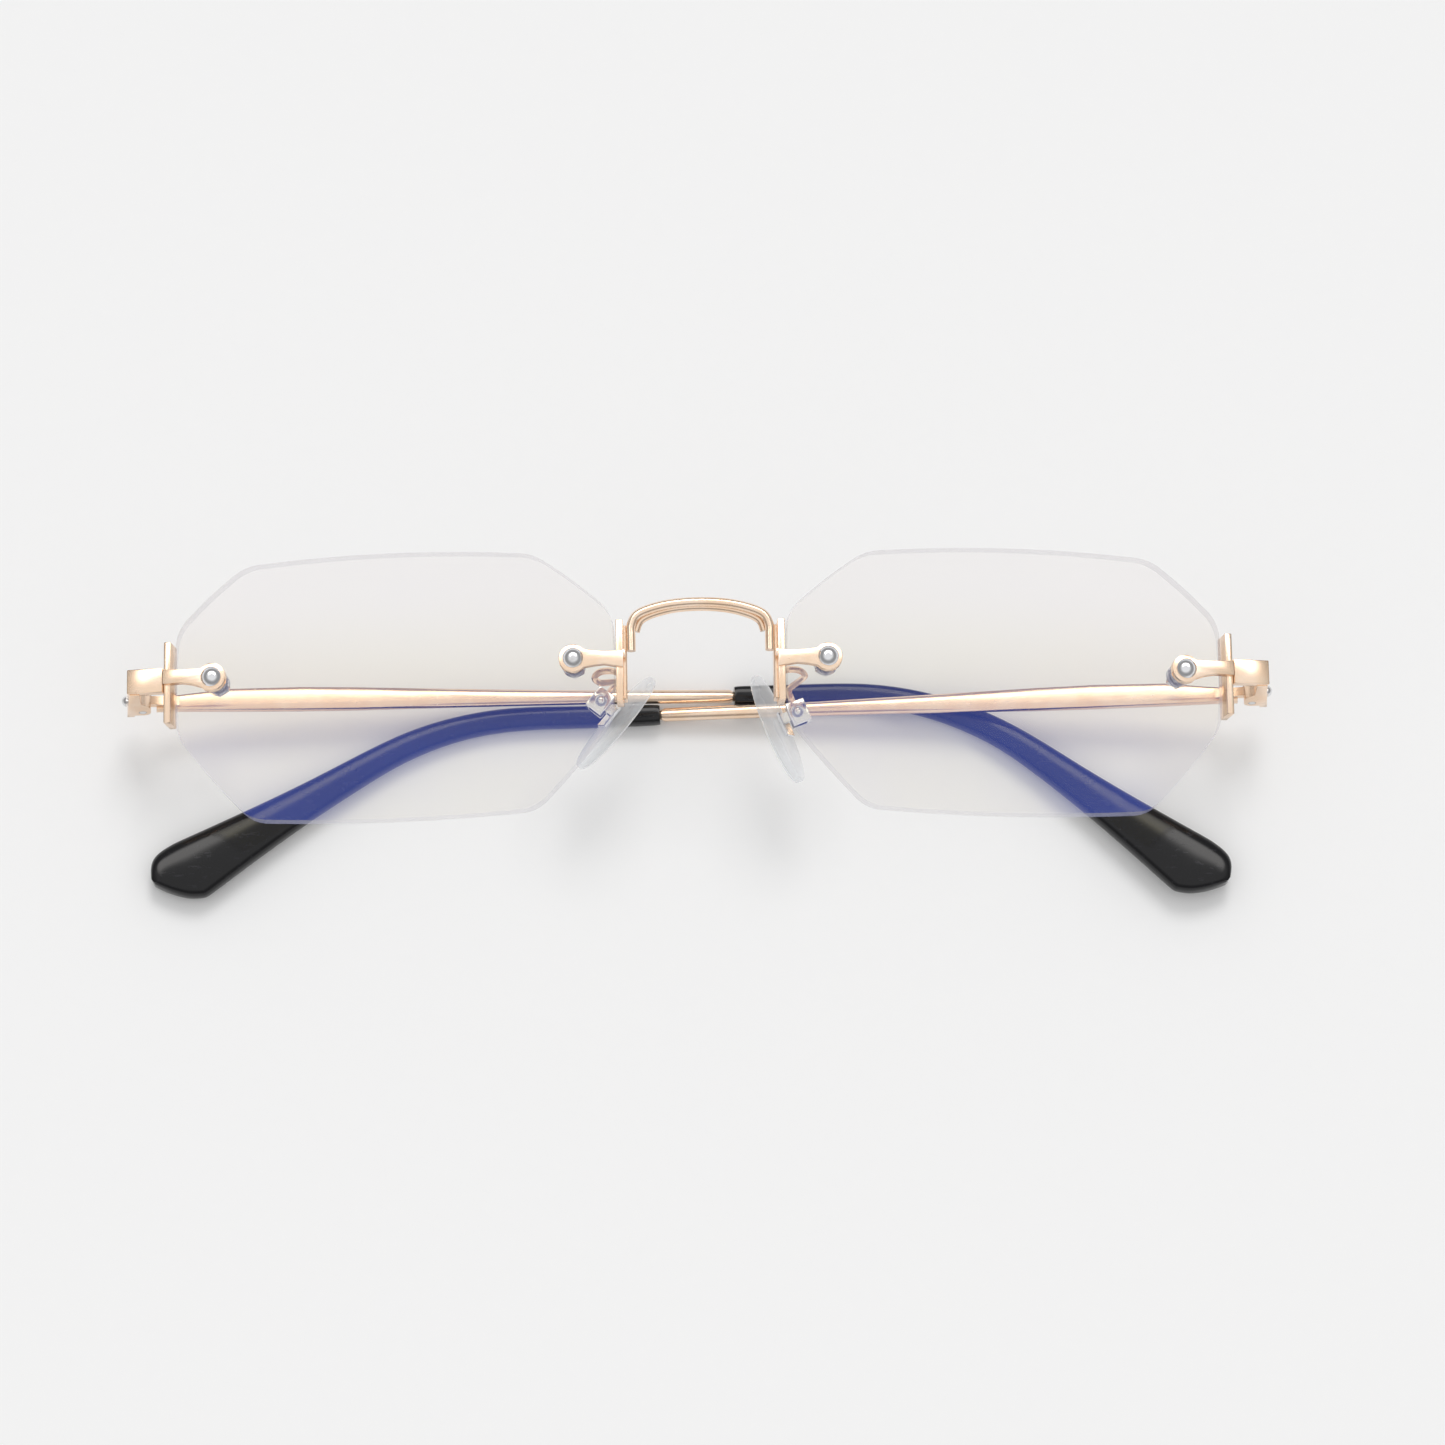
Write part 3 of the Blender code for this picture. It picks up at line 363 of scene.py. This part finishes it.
def merged_copy(node, name):
    """The CAD node's shape as one closed mesh of its own."""
    piece = bpy.data.objects.new(name, frame["nodes"][node].data.copy())
    bpy.context.scene.collection.objects.link(piece)
    only(piece)
    if piece.data.has_custom_normals:
        bpy.ops.mesh.customdata_custom_splitnormals_clear()
    bpy.ops.object.mode_set(mode="EDIT")
    bpy.ops.mesh.select_all(action="SELECT")
    bpy.ops.mesh.remove_doubles(threshold=SAME_POINT)
    flat, square = math.radians(25), math.radians(60)
    bpy.ops.mesh.tris_convert_to_quads(face_threshold=flat, shape_threshold=square)
    bpy.ops.object.mode_set(mode="OBJECT")
    return piece


def hold_edges(piece, angle):
    """Creases the edges sharper than an angle, so that smoothing leaves them."""
    only(piece)
    bpy.ops.object.mode_set(mode="EDIT")
    bpy.ops.mesh.select_mode(type="EDGE")
    bpy.ops.mesh.select_all(action="DESELECT")
    bpy.ops.mesh.edges_select_sharp(sharpness=angle)
    bpy.ops.transform.edge_crease(value=1.0)
    bpy.ops.object.mode_set(mode="OBJECT")


def stands_for(piece, node):
    """The piece is shown in place of a CAD node and moves with its body."""
    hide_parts(node)
    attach(piece, NODE_BODY[node])


def smooth_piece(node, name, levels, held=40):
    """A rounded piece with its facets subdivided away."""
    piece = merged_copy(node, name)
    hold_edges(piece, math.radians(held))
    if levels:
        smoothing = piece.modifiers.new("smoothing", "SUBSURF")
        smoothing.levels = smoothing.render_levels = levels
        bpy.ops.object.modifier_apply(modifier=smoothing.name)
    bpy.ops.object.shade_smooth_by_angle(angle=math.radians(held))
    dress(piece, NODE_SLOT[node])
    stands_for(piece, node)


def cut_lens(side):
    """The lens with the fine polished chamfer that runs round its rim and its holes."""
    node = f"{side}_lens"
    piece = merged_copy(node, f"{side}_cut_lens")
    piece.data.materials.clear()
    piece.data.materials.append(FINISHES["lens_plastic"])
    piece.data.materials.append(LENS_RIM)
    chamfer = piece.modifiers.new("chamfer", "BEVEL")
    chamfer.width = CHAMFER_WIDTH
    chamfer.segments = 1
    chamfer.material = 1
    chamfer.limit_method = "ANGLE"
    chamfer.angle_limit = CHAMFERED_EDGE
    bpy.ops.object.modifier_apply(modifier=chamfer.name)
    bpy.ops.object.shade_smooth_by_angle(angle=LENS_SMOOTH)
    stands_for(piece, node)
    piece.visible_shadow = piece.visible_diffuse = False


def build_pieces():
    smooth_piece("bridge_front_wire", "bridge_front_wire_smooth", 2)
    smooth_piece("bridge_rear_wire", "bridge_rear_wire_smooth", 2)
    for side in SIDES:
        cut_lens(side)
        smooth_piece(f"{side}_pad_arm", f"{side}_pad_arm_smooth", 2)
        smooth_piece(f"{side}_nose_pad", f"{side}_nose_pad_smooth", 2)
        smooth_piece(f"{side}_temple_tip", f"{side}_temple_tip_smooth", 2)
        smooth_piece(f"{side}_temple", f"{side}_temple_smooth", 0, 30)
    shown = [n for n, obj in frame["nodes"].items() if not obj.hide_render]
    for node in shown:
        softened_cad(node)


# ---- stage, light and camera

FLOOR_SIDE = 12.0
KEY_FROM = Vector((0.12, 0.75, 1.0))  # from behind the upper rims, and above
ROOM_STRENGTH = 0.8
FRONT_TILT = math.radians(1.702)  # how the folded glasses lean on the table
FRONT_ROLL = math.radians(-0.198)
FRONT_PLACE = Vector((-0.038, 3.014, 18.693)) * MM  # the middle of the front above the table
CAMERA_TURN = Vector((-14.75, 1.53, 0.70))  # degrees about each axis of the front
CAMERA_PLACE = Vector((-2.7, 4.9, -820.9)) * MM  # the front as the camera has it
FOCAL_SHARE = 6724.0 / 1445  # focal length as a share of the frame's width
SENSOR_WIDTH = 36.0
NEAREST = 0.01


def lay_floor():
    bpy.ops.object.select_all(action="DESELECT")
    bpy.ops.mesh.primitive_plane_add(size=FLOOR_SIDE, location=(0, 0, 0))
    floor = bpy.context.object
    floor.name = "studio_floor"
    floor.data.materials.append(studio_floor())


def hang_lights():
    """A soft key light from behind and above, in an even pale room."""
    key = bpy.data.lights.new("key", "SUN")
    key.energy = 0.75
    key.angle = math.radians(24)
    key.color = (1.0, 0.995, 0.99)
    lamp = bpy.data.objects.new("key", key)
    lamp.rotation_euler = KEY_FROM.to_track_quat("Z", "Y").to_euler()
    lamp.visible_glossy = False
    bpy.context.scene.collection.objects.link(lamp)

    room = Recipe("room", room=True)
    bpy.context.scene.world = room.material
    across, back, up = room.axes("Generated")
    stops = ((0.0, 0.7), (0.08, 0.42), (0.42, 0.30), (0.62, 0.5), (0.78, 0.92))
    stops = [(place, (value, value, value)) for place, value in stops]
    walls = room.signal("ShaderNodeValToRGB", "Color", {"stops": stops}, {"Fac": up})
    band = room.smooth(up, 0.60, 0.74) * (1.0 - room.smooth(up, 0.85, 0.90))
    softbox = band * room.smooth(back, 0.1, 0.4) * (1.0 - room.smooth(abs(across), 0.45, 0.6))
    mirrored = room.blend(softbox, walls, (4.5, 4.4, 4.3))
    room.feed(room.shader.inputs["Color"], mirrored)
    even = room.node("ShaderNodeBackground", {}, {"Color": (1.0, 1.0, 1.0, 1.0), "Strength": ROOM_STRENGTH})
    room.mixed_with(even, room.signal("ShaderNodeLightPath", "Is Glossy Ray", {}, {}))


def place_camera():
    """The view from below the lenses' front normal, 0.82 m away."""
    lean = Matrix.Rotation(FRONT_TILT, 4, "X") @ Matrix.Rotation(FRONT_ROLL, 4, "Y")
    glasses = Matrix.Translation(FRONT_PLACE) @ lean
    turn = Matrix.Rotation(math.radians(CAMERA_TURN.length), 4, CAMERA_TURN.normalized())
    from_glasses = Matrix.Translation(CAMERA_PLACE) @ turn
    lens = bpy.data.cameras.new("camera")
    lens.sensor_width = SENSOR_WIDTH
    lens.lens = FOCAL_SHARE * lens.sensor_width
    lens.clip_start = NEAREST
    camera = bpy.data.objects.new("camera", lens)
    camera.matrix_world = glasses @ from_glasses.inverted()
    bpy.context.scene.collection.objects.link(camera)
    bpy.context.scene.camera = camera


build_pieces()
lay_floor()
hang_lights()
place_camera()
bpy.context.scene.view_settings.view_transform = "Standard"
